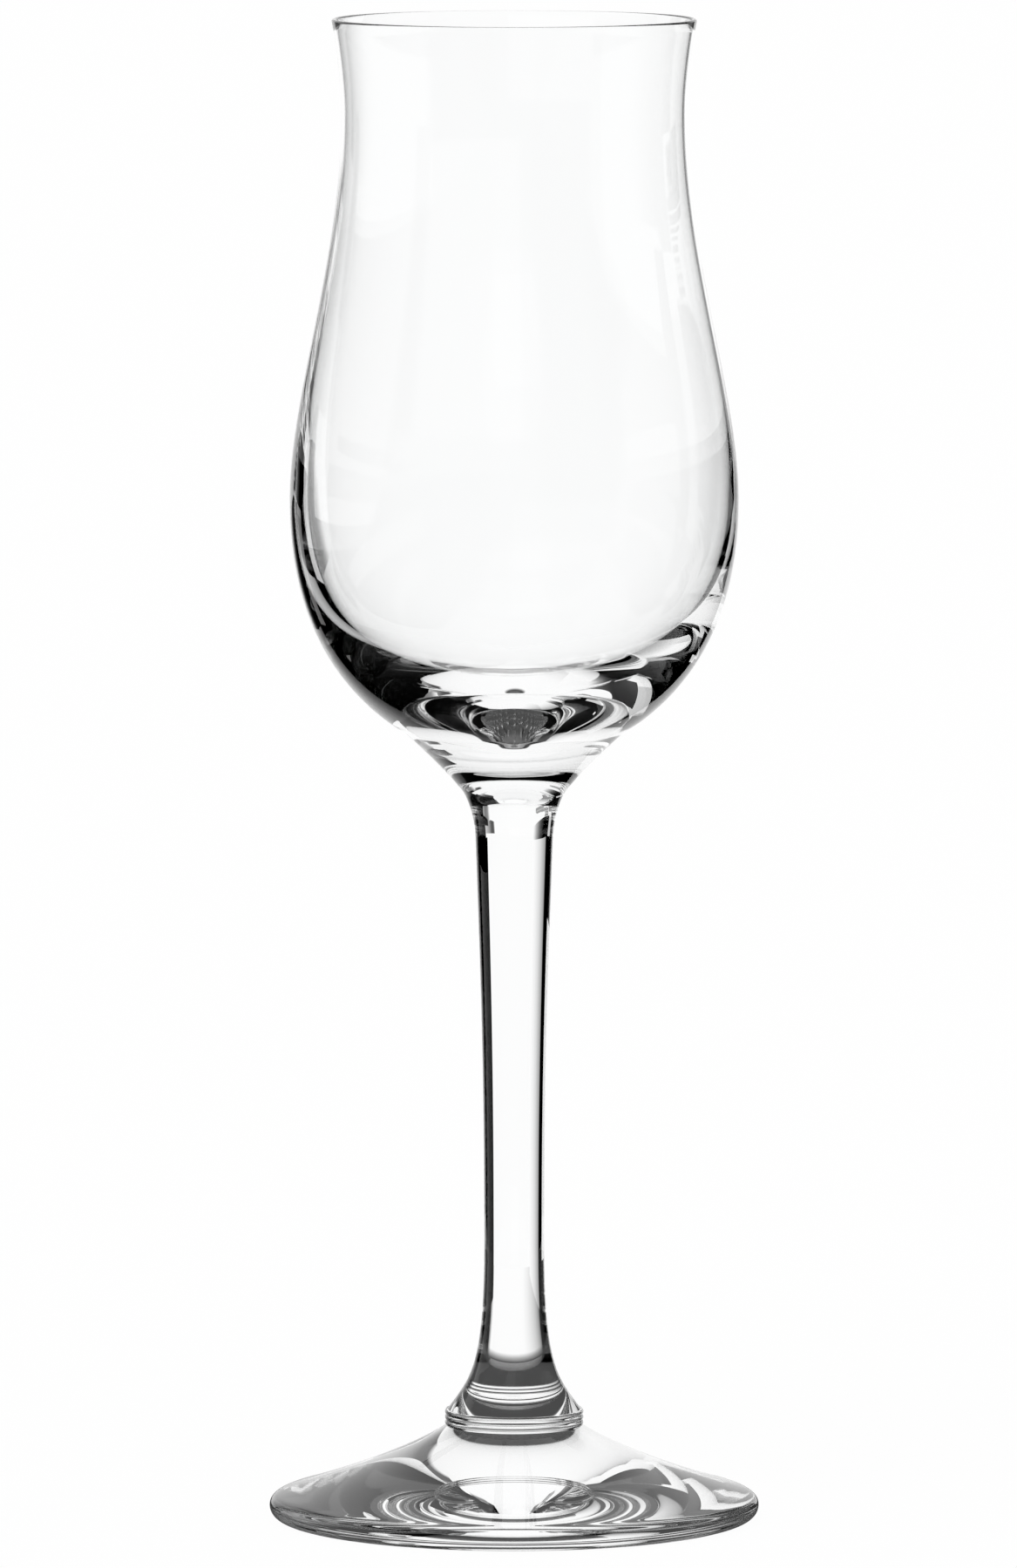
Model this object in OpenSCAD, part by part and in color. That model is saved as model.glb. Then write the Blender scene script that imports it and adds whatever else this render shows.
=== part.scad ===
// Tulip schnapps glass in clear glass: a blown bowl, a drawn stem and a pressed foot.
// The three pieces are fused hot at two flat seams. Z is the axis of the glass, and it stands on Z = 0.

/* [Bowl] */
// Height of the bowl, from its seam with the stem up to the rim
bowl_h = 95.5; // [85:0.5:110]
// Outside diameter of the rim
rim_d = 44.7; // [42:0.1:50]
// Thickness of the glass at the rim
rim_wall = 0.6; // [0.5:0.05:1.4]
// Outside diameter of the waist below the rim
waist_d = 42.3; // [38:0.1:46]
// Drop from the rim to the waist
waist_drop = 11.5; // [8:0.5:18]
// Thickness of the glass at the waist
waist_wall = 0.55; // [0.45:0.05:1.6]
// Outside diameter of the belly, the widest part of the bowl
belly_d = 55.1; // [48:0.1:62]
// Height of the belly above the seam
belly_h = 36.5; // [32:0.5:44]
// Thickness of the glass at the belly
belly_wall = 1.45; // [0.9:0.05:2.5]
// Rise of the widest place inside the bowl above the belly
cavity_rise = 2.5; // [0:0.5:6]
// Diameter at which the round base turns into the flare above the stem
base_d = 26.7; // [22:0.1:31]
// Height of that turn above the seam
base_h = 7.7; // [6:0.1:9]
// Solid glass between the seam and the lowest place inside the bowl
base_wall = 9.6; // [8:0.1:16]
// Radius of the round end of the cavity, in the middle of the base
floor_r = 6; // [3:0.5:9]

/* [Stem] */
// Height of the stem between its two seams
stem_h = 76.1; // [55:0.1:100]
// Diameter of the seam between the bowl and the stem
seam_d = 12; // [10.5:0.1:14]
// Diameter of the shoulder below that seam
shoulder_d = 9.5; // [8:0.1:10.4]
// Drop from the seam to the shoulder
shoulder_drop = 5.5; // [4:0.1:8]
// Diameter of the stem at its narrowest
stem_d = 7.4; // [6:0.1:9]
// Height of the narrowest place above the collar
narrow_h = 20.6; // [14:0.1:30]
// Diameter of the stem where it meets the collar of the foot
stem_end_d = 16.4; // [13:0.1:20]

/* [Foot] */
// Diameter of the foot across its rounded edge
foot_d = 60.4; // [54:0.1:72]
// Height of the foot, from the table to the top of its collar
foot_h = 13.4; // [10:0.1:18]
// Height of the ringed collar under the stem
collar_h = 2; // [1:0.1:3]
// Step from the stem out to the collar
collar_step = 0.2; // [0.1:0.05:0.5]
// Number of fine rings on the collar
ring_count = 3; // [2:1:5]
// How far a ring stands out of the collar
ring_proud = 0.15; // [0.05:0.05:0.3]
// Height at which the rounded edge meets the dished top
edge_h = 3.2; // [2.6:0.1:4.5]
// Width of the rounding on top of the edge
edge_w = 2.3; // [1.6:0.1:4]
// Radius of the rounding under the edge
edge_r = 1.5; // [0.8:0.1:2]
// Width of the flat ring on which the glass stands
rest_w = 2.5; // [1:0.1:5]
// Rise of the hollow underside at its middle
hollow_h = 1; // [0.4:0.1:2.5]

/* [Hidden] */
$fn = 96;

// Number of straight steps in a long curve, in a short one and in one ring of the collar
long_steps = 18;
short_steps = 8;
ring_steps = 6;

// Heights above the table
seam_z = foot_h + stem_h;
glass_h = seam_z + bowl_h;
collar_z = foot_h - collar_h;

// Radii that neighbouring pieces share
seam_r = seam_d / 2;
stem_end_r = stem_end_d / 2;
collar_r = stem_end_r + collar_step;
foot_r = foot_d / 2;
rest_r = foot_r - edge_r;
hollow_r = rest_r - rest_w;

// Directions of the outline, in degrees up from the horizontal
seam_lean = 66;
flare_lean = 40.5;
base_lean = 31.5;
floor_lean = 23;
rim_lean = 80;
shoulder_lean = 88;
trumpet_lean = -55;
dish_lean = -35;
edge_lean = -17;

// A point of an outline, as radius and height
rim_p = [rim_d / 2, glass_h - rim_wall / 2];
waist_p = [waist_d / 2, glass_h - waist_drop];
belly_p = [belly_d / 2, seam_z + belly_h];
base_p = [base_d / 2, seam_z + base_h];
seam_p = [seam_r, seam_z];
shoulder_p = [shoulder_d / 2, seam_z - shoulder_drop];
narrow_p = [stem_d / 2, foot_h + narrow_h];
stem_end_p = [stem_end_r, foot_h];
collar_p = [collar_r, collar_z];
edge_top_p = [foot_r - edge_w, edge_h];
edge_side_p = [foot_r, edge_r];
cavity_p = [belly_d / 2 - belly_wall, seam_z + belly_h + cavity_rise];
floor_c = [0, seam_z + base_wall + floor_r];

// The same place on the inside of a wall
function inside(p, wall) = [p[0] - wall, p[1]];

// The way that an angle points
function way(angle) = [cos(angle), sin(angle)];

// A point of a cubic curve with four control points
function cubic(a, b, c, d, t) =
    pow(1 - t, 3) * a + 3 * pow(1 - t, 2) * t * b + 3 * (1 - t) * t * t * c + t * t * t * d;

// A smooth run from p, leaving along angle_p, to q, arriving along angle_q. Each pull says how far the run
// keeps to its angle, as a share of the distance. The run leaves out its first point.
function run(p, angle_p, pull_p, q, angle_q, pull_q, steps) =
    let (reach = norm(q - p))
    [for (i = [1:steps])
        cubic(p, p + pull_p * reach * way(angle_p), q - pull_q * reach * way(angle_q), q, i / steps)];

// A round arc that leaves out its first point
function arc(centre, r, from, to, steps) =
    [for (i = [1:steps]) centre + r * way(from + (to - from) * i / steps)];

// The shallow round hollow of the underside, from the axis out to the standing ring
function hollow(r, rise, steps) =
    let (ball = (r * r + rise * rise) / (2 * rise), half = asin(r / ball))
    [for (i = [0:steps]) [ball * sin(half * i / steps), rise - ball + ball * cos(half * i / steps)]];

// The rings of the collar, from the dished top up to the stem, without the first point
function rings(steps) =
    [for (i = [1:steps * ring_count])
        [collar_r + ring_proud * abs(sin(180 * i / steps)), collar_z + collar_h * i / (steps * ring_count)]];

// The outside of the bowl, from the seam up to the rim
function bowl_outside() = concat(
    [seam_p],
    run(seam_p, seam_lean, 0.12, base_p, flare_lean, 0.29, short_steps),
    run(base_p, base_lean, 0.3, belly_p, 90, 0.465, long_steps),
    run(belly_p, 90, 0.27, waist_p, 90, 0.38, long_steps),
    run(waist_p, 90, 0.2, rim_p, rim_lean, 0.45, short_steps));

// The inside of the bowl, from the rim down to the axis
function bowl_inside() = concat(
    run(inside(rim_p, rim_wall), rim_lean - 180, 0.45, inside(waist_p, waist_wall), -90, 0.2, short_steps),
    run(inside(waist_p, waist_wall), -90, 0.38, cavity_p, -90, 0.27, long_steps),
    run(cavity_p, -90, 0.65, floor_c + floor_r * way(floor_lean - 90), floor_lean + 180, 0.25, long_steps),
    arc(floor_c, floor_r, floor_lean - 90, -90, short_steps));

// The fire-polished lip, from the outside over the top to the inside
function lip() = arc(inside(rim_p, rim_wall / 2), rim_wall / 2, 0, 180, short_steps);

module bowl() {
    color("azure", 0.35)
        rotate_extrude()
            polygon(concat(bowl_outside(), lip(), bowl_inside(), [[0, seam_z]]));
}

module stem() {
    color("azure", 0.35)
        rotate_extrude()
            polygon(concat(
                [[0, foot_h], stem_end_p],
                run(stem_end_p, trumpet_lean + 180, 0.22, narrow_p, 90, 0.75, long_steps),
                run(narrow_p, 90, 0.46, shoulder_p, shoulder_lean, 0.3, long_steps),
                run(shoulder_p, shoulder_lean, 0.5, seam_p, seam_lean, 0.15, short_steps),
                [[0, seam_z]]));
}

module foot() {
    color("azure", 0.35)
        rotate_extrude()
            polygon(concat(
                hollow(hollow_r, hollow_h, short_steps),
                [[rest_r, 0]],
                arc([rest_r, edge_r], edge_r, -90, 0, short_steps),
                run(edge_side_p, 90, 0.4, edge_top_p, edge_lean + 180, 0.4, short_steps),
                run(edge_top_p, edge_lean + 180, 0.4, collar_p, dish_lean + 180, 0.2, long_steps),
                rings(ring_steps),
                [stem_end_p, [0, foot_h]]));
}

bowl();
stem();
foot();
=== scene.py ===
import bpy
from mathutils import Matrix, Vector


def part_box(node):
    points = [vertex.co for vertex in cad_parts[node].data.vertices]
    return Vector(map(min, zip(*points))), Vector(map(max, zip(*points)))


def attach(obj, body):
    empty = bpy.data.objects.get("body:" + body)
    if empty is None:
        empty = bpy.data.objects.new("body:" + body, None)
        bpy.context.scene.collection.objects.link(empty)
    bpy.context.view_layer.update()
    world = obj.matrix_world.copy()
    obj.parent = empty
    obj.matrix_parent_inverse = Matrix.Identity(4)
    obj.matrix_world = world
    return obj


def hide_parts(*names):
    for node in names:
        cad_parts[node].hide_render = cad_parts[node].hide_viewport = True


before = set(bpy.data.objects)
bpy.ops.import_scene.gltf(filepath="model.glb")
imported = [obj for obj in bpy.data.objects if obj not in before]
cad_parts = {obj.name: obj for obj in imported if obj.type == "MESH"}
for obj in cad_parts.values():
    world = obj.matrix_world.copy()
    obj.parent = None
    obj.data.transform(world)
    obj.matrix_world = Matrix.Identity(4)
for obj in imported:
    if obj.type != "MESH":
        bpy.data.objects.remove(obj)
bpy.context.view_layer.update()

import math
from collections import namedtuple

import bpy
from bpy.props import FloatProperty, FloatVectorProperty, IntProperty, PointerProperty
from mathutils import Vector

bl_info = {
    "name": "Tulip Schnapps Glass",
    "version": (1, 0, 0),
    "blender": (4, 5, 0),
    "location": "3D View > Sidebar > Glass",
    "description": "A clear tulip glass of three fused pieces, on a white table-top set",
    "category": "Add Mesh",
}

# Lowest and highest corners of the three pieces in the frame
bowl_lo, bowl_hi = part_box("bowl")
stem_lo, stem_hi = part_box("stem")
foot_lo, foot_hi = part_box("foot")

# Heights of the two seams and of the rim above the table
FOOT_SEAM_Z = stem_lo.z
BOWL_SEAM_Z = bowl_lo.z
RIM_Z = bowl_hi.z

# Directions of the outline, in degrees up from the horizontal
UP = 90
DOWN = -90
SEAM_LEAN = 66
FLARE_LEAN = 40.5
BASE_LEAN = 31.5
FLOOR_LEAN = 23
RIM_LEAN = 80
SHOULDER_LEAN = 88
TRUMPET_LEAN = -55
DISH_LEAN = -35
EDGE_LEAN = -17

# How far each run of an outline keeps to its first and its last direction, as shares of the distance
FLARE_PULLS = (0.12, 0.29)
BASE_PULLS = (0.3, 0.465)
UPPER_PULLS = (0.27, 0.38)
UPPER_PULLS_DOWN = (0.38, 0.27)
RIM_PULLS = (0.2, 0.45)
RIM_PULLS_DOWN = (0.45, 0.2)
CAVITY_PULLS = (0.65, 0.25)
TRUMPET_PULLS = (0.22, 0.75)
STEM_PULLS = (0.46, 0.3)
SHOULDER_PULLS = (0.5, 0.15)
EDGE_PULLS = (0.4, 0.4)
DISH_PULLS = (0.4, 0.2)

# Straight steps in each run or arc of an outline
RIM_STEPS = 12
RING_STEPS = 12
EDGE_ARC_STEPS = 14
FLOOR_STEPS = 16
EDGE_STEPS = 20
FLARE_STEPS = 30
HOLLOW_STEPS = 32
UPPER_STEPS = 48
LONG_STEPS = 64
CAVITY_STEPS = 72

# How often light may turn on its way through the glass
BOUNCES = 24
# Corners sharper than this stay sharp in the shading
CREASE = math.radians(30)
# Points of the turned mesh closer than this are one point
MERGE = 1e-7

# A place along an upright card: where it stands, its bottom and top heights, and its grey there
Station = namedtuple("Station", "x y bottom top grey")

# How far the cards stand from the axis: at the sides, in a layer just inside those, far out and in front
SIDE = 0.07
LAYER = 0.0695
FAR = 0.30
FRONT = 0.300
# Where the front ends at its sides, where it is split, and its grey
FRONT_END = 0.50
FRONT_SPLIT = 0.02
FRONT_GREY = 0.2

# The cards round the glass, as seen from the camera: x to the right, y away from it
# Their greys glow and take no light: painted light and shade, which the glass shows at its edges and through
# it
CARDS = {
    "card_right": (
        Station(SIDE, -FRONT, 0.000, 0.134, 0.0),
        Station(SIDE, 0.103, 0.000, 0.134, 0.0),
    ),
    "card_right_low": (
        Station(SIDE, 0.103, 0.000, 0.082, 0.0),
        Station(SIDE, 0.113, 0.000, 0.082, 0.0),
    ),
    "card_right_fade": (
        Station(FAR, 0.120, 0.100, 0.215, 1.0),
        Station(FAR, 0.230, 0.100, 0.215, 0.83),
        Station(FAR, 0.300, 0.100, 0.215, 0.7),
        Station(FAR, 0.420, 0.100, 0.215, 0.6),
        Station(FAR, 0.560, 0.100, 0.215, 0.3),
        Station(FAR, 0.640, 0.100, 0.215, 0.1),
        Station(FAR, 0.740, 0.100, 0.215, 0.1),
        Station(FAR, 0.800, 0.100, 0.215, 1.0),
    ),
    "card_right_top": (
        Station(FAR, -FRONT, 0.225, 0.800, 0.0),
        Station(FAR, 0.500, 0.225, 0.800, 0.0),
    ),
    "card_right_back": (
        Station(SIDE, 0.103, 0.102, 0.128, 0.0),
        Station(SIDE, 0.127, 0.102, 0.120, 0.0),
    ),
    "card_right_bar": (
        Station(LAYER, 0.098, 0.122, 0.158, 0.5),
        Station(LAYER, 0.108, 0.120, 0.164, 0.2),
        Station(LAYER, 0.118, 0.118, 0.166, 0.2),
        Station(LAYER, 0.132, 0.112, 0.164, 0.3),
        Station(LAYER, 0.140, 0.114, 0.160, 0.7),
        Station(LAYER, 0.147, 0.116, 0.158, 1.0),
    ),
    "card_left_corner": (
        Station(-SIDE, -FRONT, 0.000, 0.085, 0.0),
        Station(-SIDE, -0.020, 0.000, 0.085, 0.0),
    ),
    "card_left_shelf": (
        Station(-SIDE, -0.020, 0.070, 0.085, 0.0),
        Station(-SIDE, 0.046, 0.070, 0.085, 0.0),
    ),
    "card_left_low": (
        Station(-SIDE, 0.046, 0.000, 0.085, 0.0),
        Station(-SIDE, 0.076, 0.000, 0.085, 0.0),
        Station(-SIDE, 0.080, 0.000, 0.085, 0.35),
        Station(-SIDE, 0.091, 0.000, 0.084, 0.5),
        Station(-SIDE, 0.115, 0.000, 0.082, 0.75),
        Station(-SIDE, 0.142, 0.000, 0.080, 0.9),
        Station(-SIDE, 0.175, 0.000, 0.078, 1.0),
    ),
    "card_left_front": (
        Station(-SIDE, -FRONT, 0.085, 0.150, 0.0),
        Station(-SIDE, -0.090, 0.085, 0.138, 0.0),
        Station(-SIDE, -0.040, 0.085, 0.130, 0.0),
        Station(-SIDE, -0.025, 0.085, 0.111, 0.0),
        Station(-SIDE, 0.034, 0.085, 0.111, 0.0),
        Station(-SIDE, 0.036, 0.085, 0.130, 0.0),
        Station(-SIDE, 0.050, 0.085, 0.130, 0.0),
    ),
    "card_left_strip": (
        Station(-SIDE, 0.050, 0.085, 0.117, 0.65),
        Station(-SIDE, 0.066, 0.085, 0.117, 0.65),
    ),
    "card_left_far": (
        Station(-FAR, 0.280, 0.085, 0.125, 0.0),
        Station(-FAR, 0.600, 0.085, 0.125, 0.0),
    ),
    "card_left_top": (
        Station(-FAR, -0.200, 0.160, 0.300, 0.0),
        Station(-FAR, -0.125, 0.160, 0.285, 0.0),
        Station(-FAR, -0.120, 0.117, 0.283, 0.0),
        Station(-FAR, -0.030, 0.117, 0.280, 0.0),
        Station(-FAR, 0.095, 0.117, 0.255, 0.0),
        Station(-FAR, 0.100, 0.160, 0.250, 0.0),
        Station(-FAR, 0.120, 0.160, 0.240, 0.0),
    ),
    "card_left_fade": (
        Station(-SIDE, -0.040, 0.134, 0.195, 1.0),
        Station(-SIDE, 0.008, 0.134, 0.195, 1.0),
        Station(-SIDE, 0.020, 0.135, 0.195, 0.7),
        Station(-SIDE, 0.030, 0.135, 0.195, 0.45),
        Station(-SIDE, 0.045, 0.135, 0.195, 0.3),
        Station(-SIDE, 0.050, 0.130, 0.195, 0.3),
        Station(-SIDE, 0.073, 0.130, 0.195, 0.3),
        Station(-SIDE, 0.0745, 0.160, 0.195, 0.25),
        Station(-SIDE, 0.100, 0.160, 0.195, 0.25),
        Station(-SIDE, 0.115, 0.160, 0.195, 0.6),
    ),
    "card_left_belly": (
        Station(-LAYER, 0.066, 0.085, 0.1195, 0.0),
        Station(-LAYER, 0.085, 0.083, 0.1195, 0.0),
        Station(-LAYER, 0.100, 0.081, 0.1190, 0.0),
        Station(-LAYER, 0.115, 0.080, 0.117, 0.05),
        Station(-LAYER, 0.128, 0.079, 0.115, 0.12),
        Station(-LAYER, 0.142, 0.078, 0.113, 0.28),
        Station(-LAYER, 0.158, 0.077, 0.110, 0.5),
        Station(-LAYER, 0.175, 0.076, 0.107, 0.8),
        Station(-LAYER, 0.190, 0.075, 0.104, 1.0),
    ),
    "card_front": (
        Station(FRONT_SPLIT, -FRONT, 0.000, 1.500, FRONT_GREY),
        Station(FRONT_END, -FRONT, 0.000, 1.500, FRONT_GREY),
    ),
    "card_front_low": (
        Station(-FRONT_END, -FRONT, 0.000, 0.170, FRONT_GREY),
        Station(FRONT_SPLIT, -FRONT, 0.000, 0.170, FRONT_GREY),
    ),
    "card_front_high": (
        Station(-FRONT_END, -FRONT, 0.420, 1.500, FRONT_GREY),
        Station(FRONT_SPLIT, -FRONT, 0.420, 1.500, FRONT_GREY),
    ),
}

# A slat of the louvre, which stands on the left: its bottom and top, its near and far ends and its grey
Slat = namedtuple("Slat", "bottom top near far grey")
# The slats glow with their greys: painted light and shade that the bowl shows as stripes
LOUVRE = (
    Slat(0.1206, 0.1228, 0.076, 0.100, 0.03),
    Slat(0.1237, 0.1256, 0.076, 0.099, 0.05),
    Slat(0.1264, 0.1270, 0.076, 0.098, 0.05),
    Slat(0.1277, 0.1290, 0.076, 0.098, 0.05),
    Slat(0.1300, 0.1318, 0.076, 0.100, 0.05),
    Slat(0.1328, 0.1337, 0.076, 0.105, 0.05),
    Slat(0.1345, 0.1357, 0.076, 0.125, 0.1),
    Slat(0.1365, 0.1390, 0.076, 0.165, 0.15),
    Slat(0.1398, 0.1432, 0.076, 0.175, 0.2),
    Slat(0.1441, 0.1462, 0.085, 0.180, 0.25),
    Slat(0.1470, 0.1600, 0.108, 0.180, 0.35),
)

# A dark sheet that only the glass shows: painted shade for the shadow under the foot, and darker floor to the
# front and sides
# The painted shade under the glass: its grey in the middle, the share of the outer grey at each radius, the
# outer grey
# by the turn in degrees from straight back towards the right, and its steps round the axis
PAINTED_SHADE_GREY = 0.07
PAINTED_SHADE_SHARES = ((0.034, 0.0), (0.041, 0.4), (0.048, 1.0), (0.205, 1.0))
PAINTED_SHADE_TURNS = (
    (-180, 0.5), (-120, 0.05), (-60, 0.0), (-42, 0.03), (-38, 0.35), (-30, 0.6), (-24, 0.75), (-18, 0.88),
    (-11, 1.0), (30, 1.0), (36, 0.0), (60, 0.0), (120, 0.05), (180, 0.5),
)
PAINTED_SHADE_STEPS = 120

# Height at which the cavity stands furthest off the axis, and how far it takes to come back, above and below
DRIFT_Z = 0.123
DRIFT_UP = 0.045
DRIFT_DOWN = 0.026
NO_DRIFT = (0.0, 0.0, 0.0)

# How close the lines of the grain lie along each axis, to the metre
BOWL_GRAIN = (40.0, 40.0, 220.0)
STEM_GRAIN = (260.0, 260.0, 20.0)
FOOT_GRAIN = (60.0, 60.0, 60.0)
# How strong the grain is, and how deep
GRAIN_SHARE = 0.02
GRAIN_DEPTH = 0.00002

# The polish: how close its clouds lie, to the metre, and the part of them that turns a little less bright
POLISH_SCALE = 60.0
POLISH_FROM = 0.35
POLISH_TO = 0.75

# Marks of the outline's points: in a seam, in the cavity, and how free it is to wave
MARKS = ("seam", "cavity", "free")
# A face with this much of the seam's mark at all its corners lies in the seam
SEAM_MARK = 0.99
WHITE = (1.0, 1.0, 1.0, 1.0)


def size(name, description, default):
    """A length that a user may change, in metres."""
    return FloatProperty(name=name, description=description, default=default, min=0.0, precision=5,
                         subtype="DISTANCE", unit="LENGTH")


class BowlSizes(bpy.types.PropertyGroup):
    """Sizes of the blown bowl."""
    rim_d: size("Rim", "Outside diameter of the rim", 0.0447)
    rim_wall: size("Rim Wall", "Thickness of the glass at the rim", 0.0006)
    waist_d: size("Waist", "Outside diameter of the waist below the rim", 0.0423)
    waist_drop: size("Waist Drop", "Drop from the rim to the waist", 0.0115)
    waist_wall: size("Waist Wall", "Thickness of the glass at the waist", 0.00055)
    belly_d: size("Belly", "Outside diameter of the belly", bowl_hi.x - bowl_lo.x)
    belly_h: size("Belly Height", "Height of the belly above the seam", 0.0365)
    belly_wall: size("Belly Wall", "Thickness of the glass at the belly", 0.00145)
    cavity_rise: size("Cavity Rise", "Rise of the widest place inside above the belly", 0.0025)
    cavity_drift: size("Cavity Drift", "How far the blown cavity stands off the axis", 0.0004)
    base_d: size("Base", "Diameter at which the round base turns into the flare", 0.0267)
    base_h: size("Base Height", "Height of that turn above the seam", 0.0077)
    base_wall: size("Base Wall", "Solid glass between the seam and the floor of the bowl", 0.0096)
    floor_r: size("Floor Radius", "Radius of the round end of the cavity", 0.006)


class StemSizes(bpy.types.PropertyGroup):
    """Sizes of the drawn stem."""
    seam_d: size("Seam", "Diameter of the seam between the bowl and the stem", 0.012)
    shoulder_d: size("Shoulder", "Diameter of the shoulder below that seam", 0.0095)
    shoulder_drop: size("Shoulder Drop", "Drop from the seam to the shoulder", 0.0055)
    stem_d: size("Stem", "Diameter of the stem at its narrowest", 0.0074)
    narrow_h: size("Narrow Height", "Height of the narrowest place above the collar", 0.0206)
    end_d: size("Stem End", "Diameter where the stem meets the collar", stem_hi.x - stem_lo.x)


class FootSizes(bpy.types.PropertyGroup):
    """Sizes of the pressed foot."""
    foot_d: size("Foot", "Diameter across the rounded edge", foot_hi.x - foot_lo.x)
    collar_h: size("Collar", "Height of the ringed collar under the stem", 0.002)
    collar_step: size("Collar Step", "Step from the stem out to the collar", 0.0002)
    ring_count: IntProperty(name="Rings", description="Number of fine rings on the collar", default=3, min=1)
    ring_proud: size("Ring Height", "How far a ring stands out of the collar", 0.00015)
    edge_h: size("Edge Height", "Height at which the rounded edge meets the dished top", 0.0032)
    edge_w: size("Edge Width", "Width of the rounding on top of the edge", 0.0023)
    edge_r: size("Edge Radius", "Radius of the rounding under the edge", 0.0015)
    rest_w: size("Standing Ring", "Width of the flat ring on which the glass stands", 0.0025)
    hollow_h: size("Hollow", "Rise of the hollow underside at its middle", 0.001)


class GlassFinish(bpy.types.PropertyGroup):
    """The look of the clear glass."""
    tint: FloatVectorProperty(name="Tint", description="Colour of the clear glass", subtype="COLOR",
                              default=(0.995, 0.998, 0.998), min=0.0, max=1.0)
    ior: FloatProperty(name="IOR", description="How strongly the glass bends light", default=1.52, min=1.0)
    segments: IntProperty(name="Segments", description="Steps round the axis", default=256, min=24)
    haze: FloatProperty(name="Haze", description="Roughness where the polish is least", default=0.006,
                        min=0.0)
    shine: FloatProperty(name="Shine", description="Share of the reflection where the glass is seen head on",
                         default=0.2, min=0.0, max=1.0)
    shade: FloatProperty(name="Shade", description="Share of light that its shadow lets through", default=0.9,
                         min=0.0, max=1.0)
    waviness: size("Waviness", "Height of the faint waves in the surface", 0.000006)
    wave_size: size("Wave Size", "Breadth of those waves", 0.009)


class StageSizes(bpy.types.PropertyGroup):
    """The camera, the floor and the light."""
    eye: FloatVectorProperty(name="Camera", description="Where the camera stands", subtype="XYZ",
                             unit="LENGTH", default=(-0.0007, -1.78, 0.268), precision=4)
    aim_h: size("Aim", "Height at which the camera looks", 0.0909)
    lens: FloatProperty(name="Lens", description="Focal length in millimetres", default=333.93)
    floor_gap: size("Floor Gap", "Air between the foot and the floor", 0.0001)
    floor_reach: size("Floor Reach", "Half the width of the floor", 12.0)
    floor_grey: FloatProperty(name="Floor Grey", description="How pale the floor is", default=0.8, min=0.0,
                              max=1.0)
    floor_white: FloatProperty(name="Floor White", description="Share of the floor that shows as even white",
                               default=0.9, min=0.0, max=1.0)
    dome: FloatProperty(name="Dome", description="Strength of the soft light from all round", default=0.8)
    sun: FloatProperty(name="Key Light", description="Strength of the soft key light", default=1.5)
    sun_spread: FloatProperty(name="Key Spread", description="How soft the key light is", subtype="ANGLE",
                              default=math.radians(40))
    sun_tilt: FloatProperty(name="Key Tilt", description="How far the key light leans from straight down",
                            subtype="ANGLE", default=math.radians(35))
    sun_turn: FloatProperty(name="Key Turn", description="How far the key light is turned about the axis",
                            subtype="ANGLE", default=math.radians(-30))


def way(angle):
    """The direction that an angle in degrees points."""
    return Vector((math.cos(math.radians(angle)), math.sin(math.radians(angle))))


def run(p, angle_p, q, angle_q, pulls, steps):
    """A smooth run from p, leaving along angle_p, to q, arriving along angle_q, without its first point."""
    reach = (q - p).length
    b = p + way(angle_p) * (pulls[0] * reach)
    c = q - way(angle_q) * (pulls[1] * reach)
    shares = [i / steps for i in range(1, steps + 1)]
    return [p * (1 - t) ** 3 + b * (3 * (1 - t) ** 2 * t) + c * (3 * (1 - t) * t * t) + q * t ** 3
            for t in shares]


def arc(centre, radius, start, end, steps):
    """A round arc without its first point."""
    return [centre + way(start + (end - start) * i / steps) * radius for i in range(1, steps + 1)]


def hollow(radius, rise, steps):
    """The shallow round hollow of the underside, from the axis out to the standing ring."""
    ball = (radius * radius + rise * rise) / (2 * rise)
    half = math.asin(radius / ball)
    turns = [half * i / steps for i in range(steps + 1)]
    return [Vector((ball * math.sin(t), rise - ball + ball * math.cos(t))) for t in turns]


def rings(foot, collar, steps):
    """The fine rings of the collar, from the dished top up to the stem, without the first point."""
    last = steps * foot.ring_count
    return [Vector((collar.x + foot.ring_proud * abs(math.sin(math.pi * i / steps)),
                    collar.y + foot.collar_h * i / last)) for i in range(1, last + 1)]


def seam_edge(stem):
    """The edge of the seam between the bowl and the stem, as radius and height."""
    return Vector((stem.seam_d / 2, BOWL_SEAM_Z))


def end_edge(stem):
    """The edge of the seam between the stem and the foot."""
    return Vector((stem.end_d / 2, FOOT_SEAM_Z))


def drift_share(z):
    """How much of its drift the cavity has at a height."""
    away = (z - DRIFT_Z) / (DRIFT_UP if z > DRIFT_Z else DRIFT_DOWN)
    return math.cos(math.pi / 2 * min(1.0, abs(away))) ** 2


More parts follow.
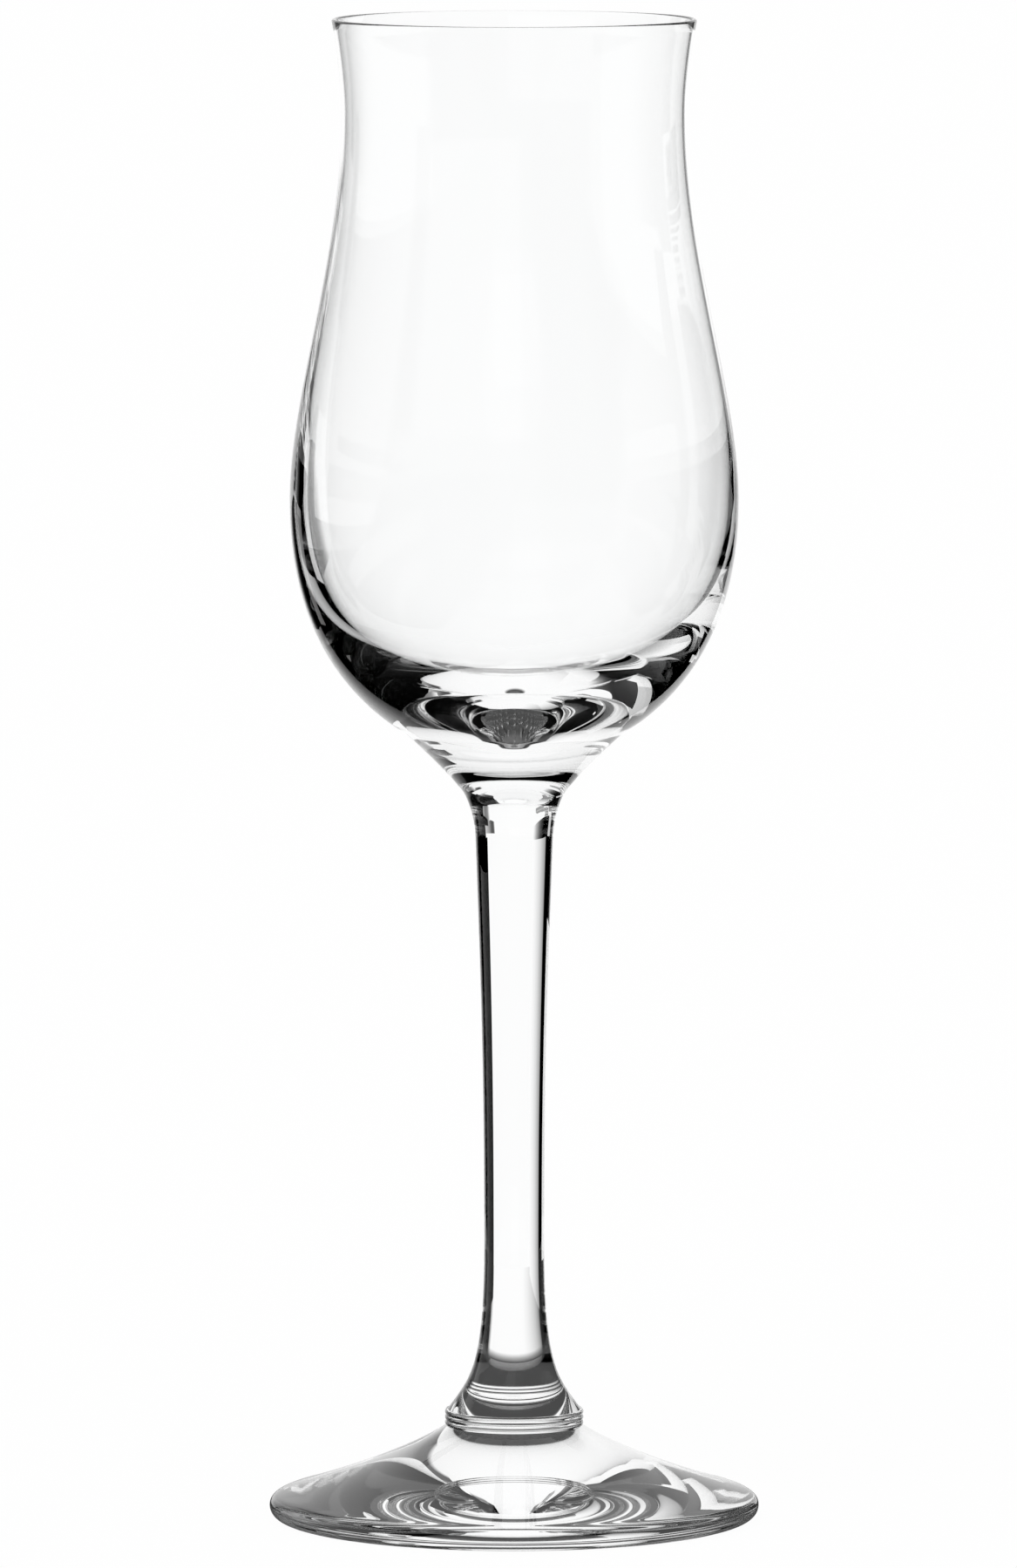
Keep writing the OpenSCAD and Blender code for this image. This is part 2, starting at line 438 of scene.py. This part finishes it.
def bowl_outline(bowl, stem):
    """The bowl from the middle of its seam, up the outside, over the lip and down the inside to the axis."""
    rim = Vector((bowl.rim_d / 2, RIM_Z - bowl.rim_wall / 2))
    waist = Vector((bowl.waist_d / 2, RIM_Z - bowl.waist_drop))
    belly = Vector((bowl.belly_d / 2, BOWL_SEAM_Z + bowl.belly_h))
    base = Vector((bowl.base_d / 2, BOWL_SEAM_Z + bowl.base_h))
    seam = seam_edge(stem)
    rim_in = rim - Vector((bowl.rim_wall, 0))
    waist_in = waist - Vector((bowl.waist_wall, 0))
    cavity = belly + Vector((-bowl.belly_wall, bowl.cavity_rise))
    floor = Vector((0, BOWL_SEAM_Z + bowl.base_wall + bowl.floor_r))
    cone = floor + way(FLOOR_LEAN - 90) * bowl.floor_r
    outside = [
        Vector((0, BOWL_SEAM_Z)),
        seam,
        *run(seam, SEAM_LEAN, base, FLARE_LEAN, FLARE_PULLS, FLARE_STEPS),
        *run(base, BASE_LEAN, belly, UP, BASE_PULLS, LONG_STEPS),
        *run(belly, UP, waist, UP, UPPER_PULLS, UPPER_STEPS),
        *run(waist, UP, rim, RIM_LEAN, RIM_PULLS, RIM_STEPS),
        *arc((rim + rim_in) / 2, bowl.rim_wall / 2, 0, 180, RIM_STEPS),
    ]
    inside = [
        *run(rim_in, RIM_LEAN - 180, waist_in, DOWN, RIM_PULLS_DOWN, RIM_STEPS),
        *run(waist_in, DOWN, cavity, DOWN, UPPER_PULLS_DOWN, UPPER_STEPS),
        *run(cavity, DOWN, cone, FLOOR_LEAN + 180, CAVITY_PULLS, CAVITY_STEPS),
        *arc(floor, bowl.floor_r, FLOOR_LEAN - 90, DOWN, FLOOR_STEPS),
    ]
    return outside, inside


def stem_outline(stem):
    """The stem from the middle of its lower seam, up its side and back to the axis at its upper seam."""
    end = end_edge(stem)
    narrow = Vector((stem.stem_d / 2, FOOT_SEAM_Z + stem.narrow_h))
    shoulder = Vector((stem.shoulder_d / 2, BOWL_SEAM_Z - stem.shoulder_drop))
    seam = seam_edge(stem)
    return [
        Vector((0, FOOT_SEAM_Z)),
        end,
        *run(end, TRUMPET_LEAN + 180, narrow, UP, TRUMPET_PULLS, LONG_STEPS),
        *run(narrow, UP, shoulder, SHOULDER_LEAN, STEM_PULLS, UPPER_STEPS),
        *run(shoulder, SHOULDER_LEAN, seam, SEAM_LEAN, SHOULDER_PULLS, FLARE_STEPS),
        Vector((0, BOWL_SEAM_Z)),
    ]


def foot_outline(foot, stem):
    """The foot from the middle of its hollow, round the edge, up its top and the collar to the axis."""
    end = end_edge(stem)
    collar = Vector((end.x + foot.collar_step, FOOT_SEAM_Z - foot.collar_h))
    rest_r = foot.foot_d / 2 - foot.edge_r
    edge_side = Vector((foot.foot_d / 2, foot.edge_r))
    edge_top = Vector((foot.foot_d / 2 - foot.edge_w, foot.edge_h))
    return [
        *hollow(rest_r - foot.rest_w, foot.hollow_h, HOLLOW_STEPS),
        Vector((rest_r, 0)),
        *arc(Vector((rest_r, foot.edge_r)), foot.edge_r, DOWN, 0, EDGE_ARC_STEPS),
        *run(edge_side, UP, edge_top, EDGE_LEAN + 180, EDGE_PULLS, EDGE_STEPS),
        *run(edge_top, EDGE_LEAN + 180, collar, DISH_LEAN + 180, DISH_PULLS, LONG_STEPS),
        *rings(foot, collar, RING_STEPS),
        end,
        Vector((0, FOOT_SEAM_Z)),
    ]


def add_node(tree, kind, sockets=None, **settings):
    """A new node with its settings, and its sockets set to a value or joined to another node's socket."""
    made = tree.nodes.new(kind)
    for name, value in settings.items():
        setattr(made, name, value)
    for name, value in (sockets or {}).items():
        if isinstance(value, bpy.types.NodeSocket):
            tree.links.new(value, made.inputs[name])
        else:
            made.inputs[name].default_value = value
    return made


def sampled(tree, outline, value, data_type, row):
    """A value of the outline at a row of the turned mesh."""
    return add_node(tree, "GeometryNodeSampleIndex", {"Geometry": outline, "Value": value, "Index": row},
                    data_type=data_type, domain="POINT").outputs["Value"]


def maths(tree, operation, a, b=0.0):
    """The result of one sum."""
    return add_node(tree, "ShaderNodeMath", {0: a, 1: b}, operation=operation).outputs[0]


def above(tree, value, limit):
    """Whether a value is above a limit."""
    return add_node(tree, "FunctionNodeCompare", {0: value, 1: limit}, operation="GREATER_THAN").outputs[0]


def turned_tree():
    """Geometry nodes that turn an outline about the axis into a closed piece of glass."""
    tree = bpy.data.node_groups.new("turned_glass", "GeometryNodeTree")
    for name, kind in (("Outline", "NodeSocketGeometry"), ("Segments", "NodeSocketInt"),
                       ("Drift", "NodeSocketVector"), ("Waviness", "NodeSocketFloat"),
                       ("Wave Size", "NodeSocketFloat"), ("Glass", "NodeSocketMaterial"),
                       ("Seam", "NodeSocketMaterial")):
        tree.interface.new_socket(name, in_out="INPUT", socket_type=kind)
    tree.interface.new_socket("Piece", in_out="OUTPUT", socket_type="NodeSocketGeometry")
    given = tree.nodes.new("NodeGroupInput").outputs
    outline = given["Outline"]

    # A unit grid, with one row for each point of the outline and one column for each step round the axis
    rows = add_node(tree, "GeometryNodeAttributeDomainSize", {"Geometry": outline}).outputs["Point Count"]
    columns = maths(tree, "ADD", given["Segments"], 1.0)
    grid = add_node(tree, "GeometryNodeMeshGrid", {"Size X": 1.0, "Size Y": 1.0, "Vertices X": columns,
                                                   "Vertices Y": rows}).outputs["Mesh"]
    place = tree.nodes.new("GeometryNodeInputPosition").outputs[0]
    flat = add_node(tree, "ShaderNodeSeparateXYZ", {0: place}).outputs
    turn = maths(tree, "MULTIPLY", maths(tree, "ADD", flat["X"], 0.5), 2 * math.pi)
    last = maths(tree, "SUBTRACT", rows, 1.0)
    row = maths(tree, "ROUND", maths(tree, "MULTIPLY", maths(tree, "ADD", flat["Y"], 0.5), last))

    # Marks that the outline's points carry
    kept = add_node(tree, "GeometryNodeCaptureAttribute", domain="POINT")
    tree.links.new(grid, kept.inputs[0])
    for name in MARKS:
        kept.capture_items.new("FLOAT", name)
    for index, name in enumerate(MARKS):
        mark = add_node(tree, "GeometryNodeInputNamedAttribute", {"Name": name}, data_type="FLOAT").outputs[0]
        tree.links.new(sampled(tree, outline, mark, "FLOAT", row), kept.inputs[index + 1])
    seam, cavity, free = kept.outputs[1], kept.outputs[2], kept.outputs[3]

    # The outline, turned about the axis, with the cavity a little off the axis
    spoke = sampled(tree, outline, place, "FLOAT_VECTOR", row)
    turned = add_node(tree, "ShaderNodeVectorRotate", {"Vector": spoke, "Angle": turn},
                      rotation_type="Z_AXIS").outputs[0]
    drift = add_node(tree, "ShaderNodeVectorMath", {0: given["Drift"], "Scale": cavity},
                     operation="SCALE").outputs[0]
    shaped = add_node(tree, "GeometryNodeSetPosition", {"Geometry": kept.outputs[0], "Position": turned,
                                                        "Offset": drift}).outputs[0]
    closed = add_node(tree, "GeometryNodeMergeByDistance", {"Geometry": shaped, "Distance": MERGE}).outputs[0]

    # Faint waves, which die out at the seams
    pitch = maths(tree, "DIVIDE", 1.0, given["Wave Size"])
    noise = add_node(tree, "ShaderNodeTexNoise", {"Vector": place, "Scale": pitch, "Detail": 1.0}).outputs[0]
    swing = maths(tree, "MULTIPLY", maths(tree, "SUBTRACT", noise, 0.5), given["Waviness"])
    normal = tree.nodes.new("GeometryNodeInputNormal").outputs[0]
    height = maths(tree, "MULTIPLY", swing, free)
    push = add_node(tree, "ShaderNodeVectorMath", {0: normal, "Scale": height}, operation="SCALE").outputs[0]
    waved = add_node(tree, "GeometryNodeSetPosition", {"Geometry": closed, "Offset": push}).outputs[0]

    # Smooth shading with sharp corners, then the two finishes
    angle = tree.nodes.new("GeometryNodeInputMeshEdgeAngle").outputs["Unsigned Angle"]
    corner = above(tree, angle, CREASE)
    smooth = add_node(tree, "GeometryNodeSetShadeSmooth", {"Geometry": waved,
                                                           "Shade Smooth": True}).outputs[0]
    creased = add_node(tree, "GeometryNodeSetShadeSmooth", {"Geometry": smooth, "Selection": corner,
                                                            "Shade Smooth": False}, domain="EDGE").outputs[0]
    whole = add_node(tree, "GeometryNodeRealizeInstances", {0: creased}).outputs[0]
    clear = add_node(tree, "GeometryNodeSetMaterial", {"Geometry": whole,
                                                       "Material": given["Glass"]}).outputs[0]
    joined = above(tree, seam, SEAM_MARK)
    seamed = add_node(tree, "GeometryNodeSetMaterial", {"Geometry": clear, "Selection": joined,
                                                        "Material": given["Seam"]}).outputs[0]
    tree.links.new(seamed, tree.nodes.new("NodeGroupOutput").inputs[0])
    return tree


def tree_named(name, make):
    """The node tree of that name, made when it is first needed."""
    return bpy.data.node_groups.get(name) or make()


def in_seam(p, seams):
    """Whether a point of an outline lies in one of the flat seams, given as radius and height."""
    return any(abs(p.y - seam.y) < MERGE and p.x < seam.x + MERGE for seam in seams)


def turned_piece(name, outline, seams, cavity_marks, finish, drift, glass):
    """A closed piece of glass, turned from an outline by geometry nodes and left as a plain mesh."""
    mesh = bpy.data.meshes.new(name + "_outline")
    last = len(outline) - 1
    mesh.from_pydata([(p.x, 0.0, p.y) for p in outline], [(i, i + 1) for i in range(last)], [])
    marks = {
        "seam": [1.0 if in_seam(p, seams) else 0.0 for p in outline],
        "cavity": cavity_marks,
        "free": [min(1.0, min(abs(p.y - seam.y) for seam in seams) / finish.wave_size) for p in outline],
    }
    for mark, values in marks.items():
        mesh.attributes.new(mark, "FLOAT", "POINT").data.foreach_set("value", values)
    source = bpy.data.objects.new(name + "_outline", mesh)
    bpy.context.collection.objects.link(source)
    turning = source.modifiers.new("turning", "NODES")
    turning.node_group = tree_named("turned_glass", turned_tree)
    inputs = {"Segments": finish.segments, "Drift": drift, "Waviness": finish.waviness,
              "Wave Size": finish.wave_size, "Glass": glass, "Seam": seam_glass()}
    for item in turning.node_group.interface.items_tree:
        if item.in_out == "INPUT" and item.name in inputs:
            turning[item.identifier] = inputs[item.name]
    evaluated = source.evaluated_get(bpy.context.evaluated_depsgraph_get())
    solid = bpy.data.meshes.new_from_object(evaluated)
    solid.name = name
    # The grid's own empty slot comes first, and no face uses it
    solid.materials.pop(index=0)
    bpy.data.objects.remove(source)
    bpy.data.meshes.remove(mesh)
    piece = bpy.data.objects.new(name, solid)
    bpy.context.collection.objects.link(piece)
    if not solid.polygons:
        raise RuntimeError(name + " has no faces")
    return piece


def grey(value):
    """A grey with its full cover."""
    return (value, value, value, 1.0)


def empty_tree(owner):
    """The node tree of a new material or world, with nothing in it."""
    owner.use_nodes = True
    owner.node_tree.nodes.clear()
    return owner.node_tree


def show(tree, shader, output="ShaderNodeOutputMaterial"):
    """Joins a shader to the output of its tree."""
    tree.links.new(shader.outputs[0], tree.nodes.new(output).inputs["Surface"])


def clear_glass(name, finish, grain):
    """Polished clear glass, with a faint change of polish and a hint of the grain that its making left."""
    found = bpy.data.materials.get(name)
    if found:
        return found
    material = bpy.data.materials.new(name)
    tree = empty_tree(material)
    place = tree.nodes.new("ShaderNodeTexCoord").outputs["Object"]
    stretched = add_node(tree, "ShaderNodeMapping", {"Vector": place, "Scale": grain}).outputs[0]
    polish = add_node(tree, "ShaderNodeTexNoise", {"Vector": place, "Scale": POLISH_SCALE,
                                                   "Detail": 3.0}).outputs[0]
    rough = add_node(tree, "ShaderNodeMapRange", {"Value": polish, "From Min": POLISH_FROM,
                                                  "From Max": POLISH_TO, "To Min": 0.0,
                                                  "To Max": finish.haze}).outputs[0]
    body = add_node(tree, "ShaderNodeBsdfPrincipled", {"Base Color": (*finish.tint, 1.0), "Roughness": rough,
                                                       "IOR": finish.ior, "Transmission Weight": 1.0,
                                                       "Specular Tint": grey(finish.shine)})
    lines = add_node(tree, "ShaderNodeTexNoise", {"Vector": stretched, "Scale": 1.0,
                                                  "Detail": 2.0}).outputs[0]
    bump = add_node(tree, "ShaderNodeBump", {"Height": lines, "Strength": GRAIN_SHARE,
                                             "Distance": GRAIN_DEPTH})
    tree.links.new(bump.outputs[0], body.inputs["Normal"])
    light = tree.nodes.new("ShaderNodeLightPath").outputs
    passing = maths(tree, "MAXIMUM", light["Is Shadow Ray"], light["Is Diffuse Ray"])
    through = add_node(tree, "ShaderNodeBsdfTransparent", {"Color": grey(finish.shade)})
    show(tree, add_node(tree, "ShaderNodeMixShader", {0: passing, 1: body.outputs[0], 2: through.outputs[0]}))
    return material


def seam_glass():
    """The inside of a fused seam, where light goes on without bending."""
    found = bpy.data.materials.get("fused_seam")
    if found:
        return found
    material = bpy.data.materials.new("fused_seam")
    tree = empty_tree(material)
    show(tree, add_node(tree, "ShaderNodeBsdfTransparent", {"Color": WHITE}))
    return material


def fit_to_frame(piece, node):
    """Makes a piece stand for a node of the frame."""
    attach(piece, "root")
    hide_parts(node)


class GLASS_OT_bowl(bpy.types.Operator):
    """Make the blown bowl"""
    bl_idname = "glass.make_bowl"
    bl_label = "Make Bowl"

    def execute(self, context):
        scene = context.scene
        outside, inside = bowl_outline(scene.glass_bowl, scene.glass_stem)
        marks = [0.0] * len(outside) + [drift_share(p.y) for p in inside]
        glass = clear_glass("bowl_glass", scene.glass_finish, BOWL_GRAIN)
        piece = turned_piece("bowl_glass", outside + inside, [seam_edge(scene.glass_stem)], marks,
                             scene.glass_finish, (scene.glass_bowl.cavity_drift, 0.0, 0.0), glass)
        fit_to_frame(piece, "bowl")
        return {"FINISHED"}


class GLASS_OT_stem(bpy.types.Operator):
    """Make the drawn stem"""
    bl_idname = "glass.make_stem"
    bl_label = "Make Stem"

    def execute(self, context):
        scene = context.scene
        outline = stem_outline(scene.glass_stem)
        glass = clear_glass("stem_glass", scene.glass_finish, STEM_GRAIN)
        seams = [end_edge(scene.glass_stem), seam_edge(scene.glass_stem)]
        piece = turned_piece("stem_glass", outline, seams, [0.0] * len(outline), scene.glass_finish,
                             NO_DRIFT, glass)
        fit_to_frame(piece, "stem")
        return {"FINISHED"}


class GLASS_OT_foot(bpy.types.Operator):
    """Make the pressed foot"""
    bl_idname = "glass.make_foot"
    bl_label = "Make Foot"

    def execute(self, context):
        scene = context.scene
        outline = foot_outline(scene.glass_foot, scene.glass_stem)
        glass = clear_glass("foot_glass", scene.glass_finish, FOOT_GRAIN)
        piece = turned_piece("foot_glass", outline, [end_edge(scene.glass_stem)], [0.0] * len(outline),
                             scene.glass_finish, NO_DRIFT, glass)
        fit_to_frame(piece, "foot")
        return {"FINISHED"}


def sees_background(tree):
    """1 for the light that shows the background, straight or by way of the glass, and 0 for the rest."""
    light = tree.nodes.new("ShaderNodeLightPath").outputs
    bent = maths(tree, "MAXIMUM", light["Is Glossy Ray"], light["Is Transmission Ray"])
    return maths(tree, "MAXIMUM", light["Is Camera Ray"], bent)


def white_world(stage):
    """A white surround, which also gives the soft light from all round."""
    world = bpy.data.worlds.new("white_surround")
    tree = empty_tree(world)
    dome = add_node(tree, "ShaderNodeBackground", {"Color": WHITE, "Strength": stage.dome})
    seen = add_node(tree, "ShaderNodeBackground", {"Color": WHITE, "Strength": 1.0})
    both = add_node(tree, "ShaderNodeMixShader", {0: sees_background(tree), 1: dome.outputs[0],
                                                  2: seen.outputs[0]})
    show(tree, both, "ShaderNodeOutputWorld")
    return world


def white_floor(stage):
    """A matt white table top that shows as white and keeps a soft shadow."""
    material = bpy.data.materials.new("white_table")
    tree = empty_tree(material)
    matt = add_node(tree, "ShaderNodeBsdfDiffuse", {"Color": grey(stage.floor_grey)})
    white = add_node(tree, "ShaderNodeEmission", {"Color": WHITE, "Strength": 1.0})
    share = maths(tree, "MULTIPLY", sees_background(tree), stage.floor_white)
    show(tree, add_node(tree, "ShaderNodeMixShader", {0: share, 1: matt.outputs[0], 2: white.outputs[0]}))
    return material


def card_grey():
    """A glowing grey that takes no light, as each corner of a card says: painted light and shade for the
    glass to show.
    """
    found = bpy.data.materials.get("card_grey")
    if found:
        return found
    material = bpy.data.materials.new("card_grey")
    tree = empty_tree(material)
    painted = add_node(tree, "ShaderNodeAttribute", attribute_name="grey").outputs["Fac"]
    show(tree, add_node(tree, "ShaderNodeEmission", {"Color": painted, "Strength": 1.0}))
    return material


def sheet(name, points, faces, material):
    """A sheet of the set."""
    mesh = bpy.data.meshes.new(name)
    mesh.from_pydata(points, [], faces)
    mesh.materials.append(material)
    made = bpy.data.objects.new(name, mesh)
    bpy.context.collection.objects.link(made)
    return made


def grey_sheet(name, points, faces, greys, base):
    """A grey sheet that the glass shows and the camera does not, on the turning base."""
    made = sheet(name, points, faces, card_grey())
    made.data.attributes.new("grey", "FLOAT", "POINT").data.foreach_set("value", greys)
    made.parent = base
    made.visible_camera = False
    made.visible_diffuse = False
    made.visible_shadow = False


def card(name, stations, base):
    """An upright card along a line of stations."""
    points = [(at.x, at.y, z) for at in stations for z in (at.bottom, at.top)]
    faces = [(2 * i, 2 * i + 2, 2 * i + 3, 2 * i + 1) for i in range(len(stations) - 1)]
    grey_sheet(name, points, faces, [at.grey for at in stations for end in range(2)], base)


def outer_shade_grey(turn):
    """The grey of the painted shade's outer part at a turn."""
    for (near, near_grey), (far, far_grey) in zip(PAINTED_SHADE_TURNS, PAINTED_SHADE_TURNS[1:]):
        if turn <= far:
            return near_grey + (far_grey - near_grey) * (turn - near) / (far - near)
    return PAINTED_SHADE_TURNS[-1][1]


def painted_shade_under_glass(z, base):
    """Painted shade under the glass, a dark sheet that only the glass shows, which fades out into the table
    behind it.
    """
    points, greys, faces = [(0.0, 0.0, z)], [PAINTED_SHADE_GREY], []
    for radius, share in PAINTED_SHADE_SHARES:
        for step in range(PAINTED_SHADE_STEPS):
            turn = 360 * step / PAINTED_SHADE_STEPS - 180
            across, back = way(90 - turn) * radius
            points.append((across, back, z))
            greys.append(PAINTED_SHADE_GREY + (outer_shade_grey(turn) - PAINTED_SHADE_GREY) * share)
    for step in range(PAINTED_SHADE_STEPS):
        after = (step + 1) % PAINTED_SHADE_STEPS
        faces.append((0, 1 + step, 1 + after))
        for ring in range(len(PAINTED_SHADE_SHARES) - 1):
            near, far = 1 + ring * PAINTED_SHADE_STEPS, 1 + (ring + 1) * PAINTED_SHADE_STEPS
            faces.append((near + step, far + step, far + after, near + after))
    grey_sheet("painted_shade_sheet", points, faces, greys, base)


class GLASS_OT_stage(bpy.types.Operator):
    """Make the camera, the white table, the light and the cards round the glass"""
    bl_idname = "glass.make_stage"
    bl_label = "Make Stage"

    def execute(self, context):
        scene = context.scene
        stage = scene.glass_stage
        scene.view_settings.view_transform = "Standard"
        scene.cycles.max_bounces = BOUNCES
        scene.cycles.glossy_bounces = BOUNCES
        scene.cycles.transmission_bounces = BOUNCES
        scene.cycles.transparent_max_bounces = BOUNCES
        scene.world = white_world(stage)

        lens = bpy.data.cameras.new("camera")
        lens.lens = stage.lens
        camera = bpy.data.objects.new("camera", lens)
        camera.location = stage.eye
        sight = Vector((stage.eye[0], 0.0, stage.aim_h)) - camera.location
        camera.rotation_euler = sight.to_track_quat("-Z", "Y").to_euler()
        context.collection.objects.link(camera)
        scene.camera = camera

        reach, low = stage.floor_reach, -stage.floor_gap
        corners = [(-reach, -reach, low), (reach, -reach, low), (reach, reach, low), (-reach, reach, low)]
        sheet("table_top", corners, [(0, 1, 2, 3)], white_floor(stage))

        key = bpy.data.lights.new("key_light", "SUN")
        key.energy = stage.sun
        key.angle = stage.sun_spread
        lamp = bpy.data.objects.new("key_light", key)
        lamp.rotation_euler = (stage.sun_tilt, 0.0, stage.sun_turn)
        lamp.visible_glossy = False
        lamp.visible_transmission = False
        context.collection.objects.link(lamp)

        # The cards and the painted shade under the glass stand on a base that turns about the axis to face
        # the camera
        base = bpy.data.objects.new("card_base", None)
        context.collection.objects.link(base)
        facing = base.constraints.new("LOCKED_TRACK")
        facing.target = camera
        facing.track_axis = "TRACK_NEGATIVE_Y"
        facing.lock_axis = "LOCK_Z"
        for name, stations in CARDS.items():
            card(name, stations, base)
        for number, slat in enumerate(LOUVRE):
            ends = [Station(-LAYER, y, slat.bottom, slat.top, slat.grey) for y in (slat.near, slat.far)]
            card("louvre_slat_%02d" % number, ends, base)
        # Painted shade under the glass, for the shadow under the foot
        painted_shade_under_glass(low / 2, base)
        return {"FINISHED"}


class GLASS_PT_panel(bpy.types.Panel):
    """The glass and its set"""
    bl_idname = "GLASS_PT_panel"
    bl_label = "Schnapps Glass"
    bl_space_type = "VIEW_3D"
    bl_region_type = "UI"
    bl_category = "Glass"

    def draw(self, context):
        for operator in OPERATORS:
            self.layout.operator(operator.bl_idname)
        for group in GROUPS:
            sizes = getattr(context.scene, group)
            box = self.layout.box()
            for name in sizes.bl_rna.properties.keys():
                if name not in ("rna_type", "name"):
                    box.prop(sizes, name)


GROUPS = {
    "glass_bowl": BowlSizes,
    "glass_stem": StemSizes,
    "glass_foot": FootSizes,
    "glass_finish": GlassFinish,
    "glass_stage": StageSizes,
}
OPERATORS = (GLASS_OT_stage, GLASS_OT_bowl, GLASS_OT_stem, GLASS_OT_foot)


def register():
    """Makes the sizes, the operators and the panel known."""
    for each in (*GROUPS.values(), *OPERATORS, GLASS_PT_panel):
        bpy.utils.register_class(each)
    for name, group in GROUPS.items():
        setattr(bpy.types.Scene, name, PointerProperty(type=group))


def unregister():
    """Takes them away again."""
    for name in GROUPS:
        delattr(bpy.types.Scene, name)
    for each in (GLASS_PT_panel, *reversed(OPERATORS), *reversed(GROUPS.values())):
        bpy.utils.unregister_class(each)


def main():
    """Makes the set and the pieces in order."""
    register()
    bpy.ops.glass.make_stage()
    bpy.ops.glass.make_bowl()
    bpy.ops.glass.make_stem()
    bpy.ops.glass.make_foot()


if __name__ == "__main__":
    main()
